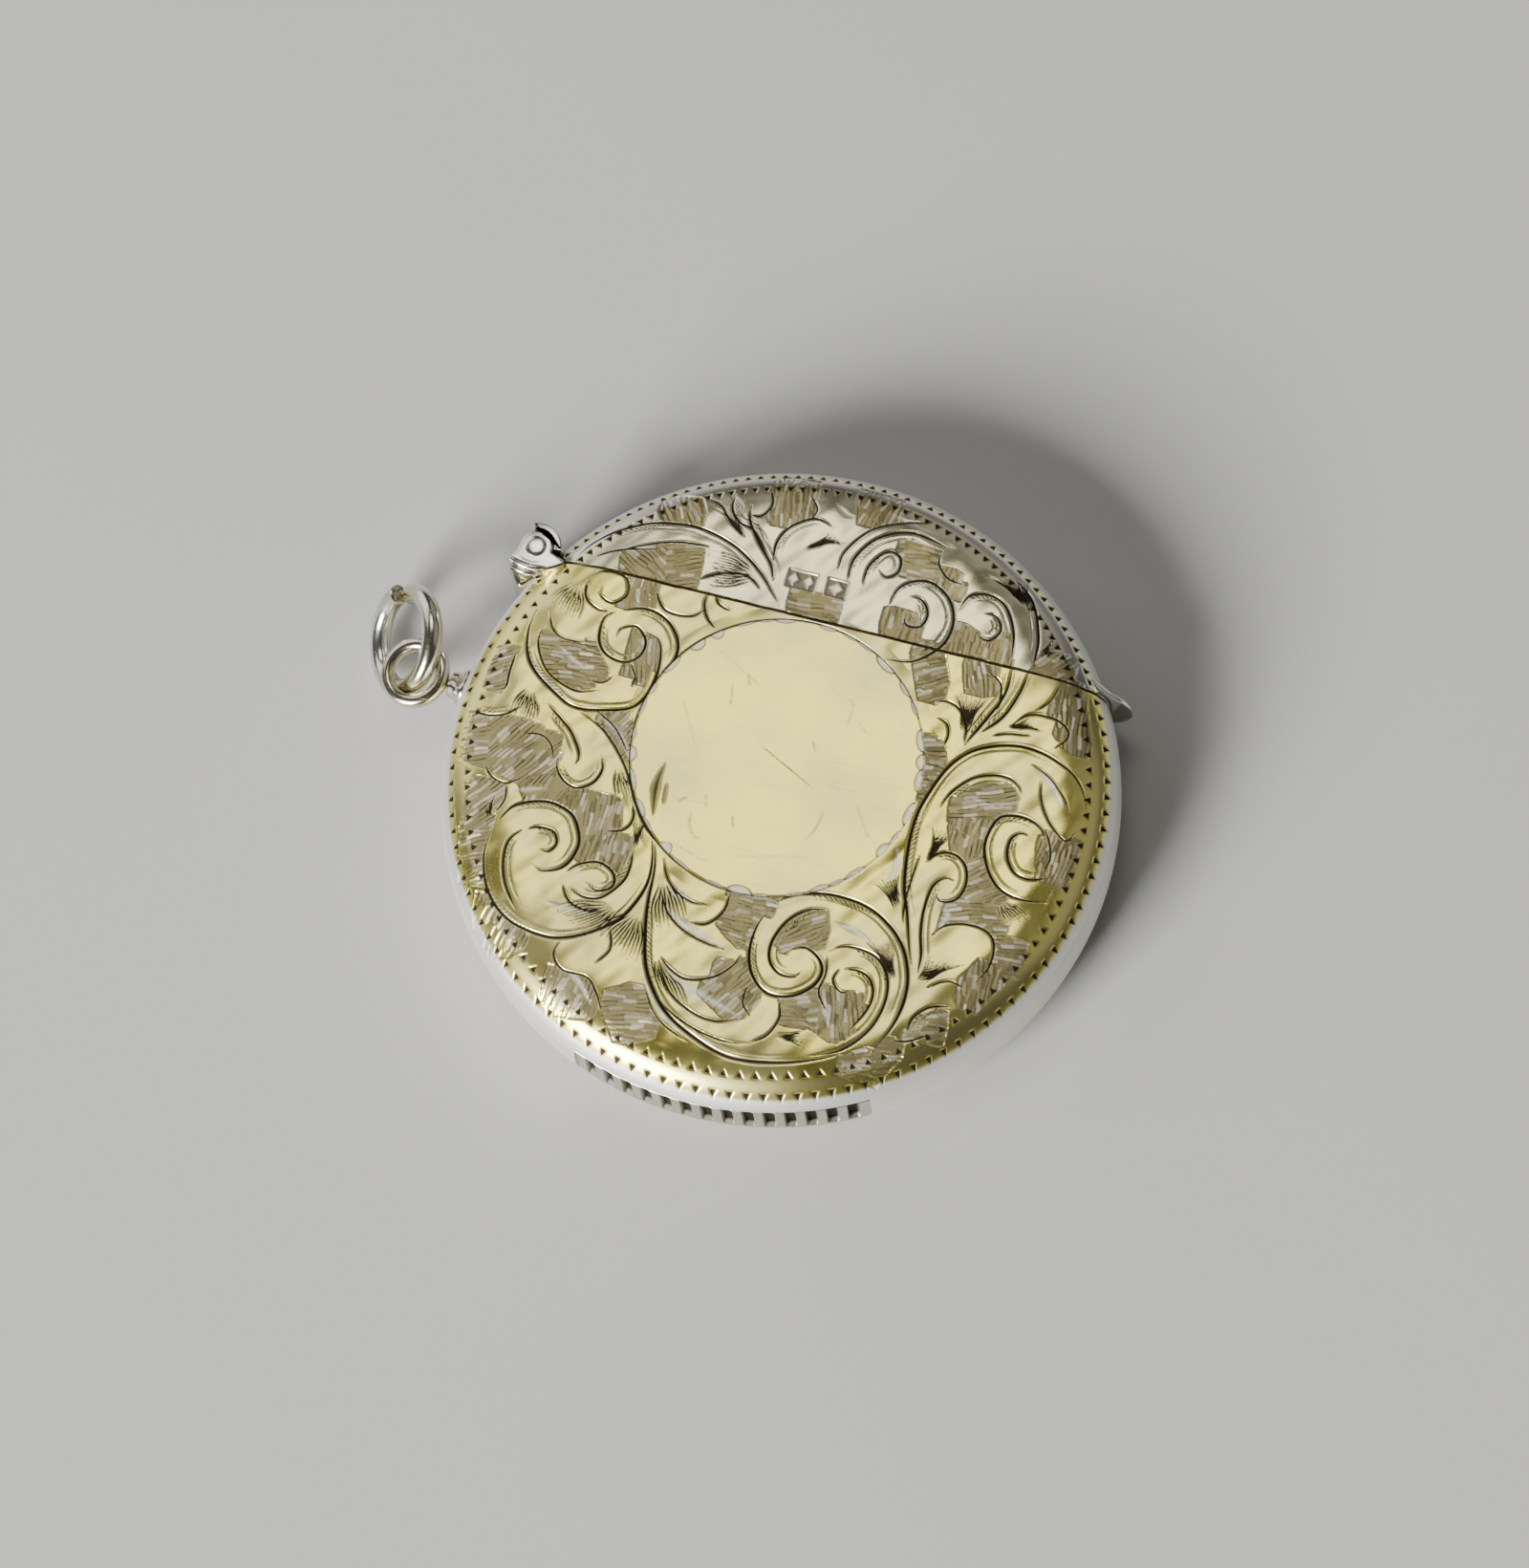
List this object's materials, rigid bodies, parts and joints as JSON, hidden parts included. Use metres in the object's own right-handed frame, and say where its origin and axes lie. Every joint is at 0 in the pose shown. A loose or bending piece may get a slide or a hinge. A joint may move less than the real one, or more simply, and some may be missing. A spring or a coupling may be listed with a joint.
{
  "type": "round vesta case",
  "caption": "Round engraved silver vesta case with a hinged lid, a ribbed striker and a suspension ring.",
  "frame": {"origin": "centre of the round case on the plane that its back rests on", "axes": "+Z out of the engraved front, +X along the mouth line away from the hinge, +Y towards the lid"},
  "size_m": [0.0502, 0.0428, 0.008],
  "materials": {
    "gilt_face": "engraved silver with worn pale gilding",
    "silver": "polished, softly worn sterling silver",
    "striker_silver": "ribbed, tarnished silver",
    "spring_steel": "blued spring steel"
  },
  "bodies": {
    "case_body": {"body_front_shell": "gilt_face", "body_back_shell": "gilt_face", "body_rim_band": "silver", "mouth_liner": "gilt_face", "striker_plate": "striker_silver", "hinge_bracket": "silver", "hinge_pin": "silver", "lid_spring": "spring_steel", "spring_rivet": "silver", "bow_collar": "silver", "bow_ring": "silver"},
    "lid": {"lid_front_shell": "gilt_face", "lid_back_shell": "gilt_face", "lid_rim_band": "silver", "lid_knuckle": "silver", "thumb_piece": "silver"},
    "jump_ring_body": {"jump_ring": "silver"}
  },
  "joints": [
    {"name": "lid_hinge", "type": "hinge", "parent": "case_body", "child": "lid", "pos_m": [-0.01895, 0.01105, 0.004], "axis": [0, 0, 1], "range_deg": [0, 80]},
    {"name": "jump_ring_swing", "type": "hinge", "parent": "case_body", "child": "jump_ring_body", "pos_m": [-0.02466, 0.00216, 0.004], "axis": [-0.2, -0.14, 0.9698], "range_deg": [-45, 90]}
  ]
}
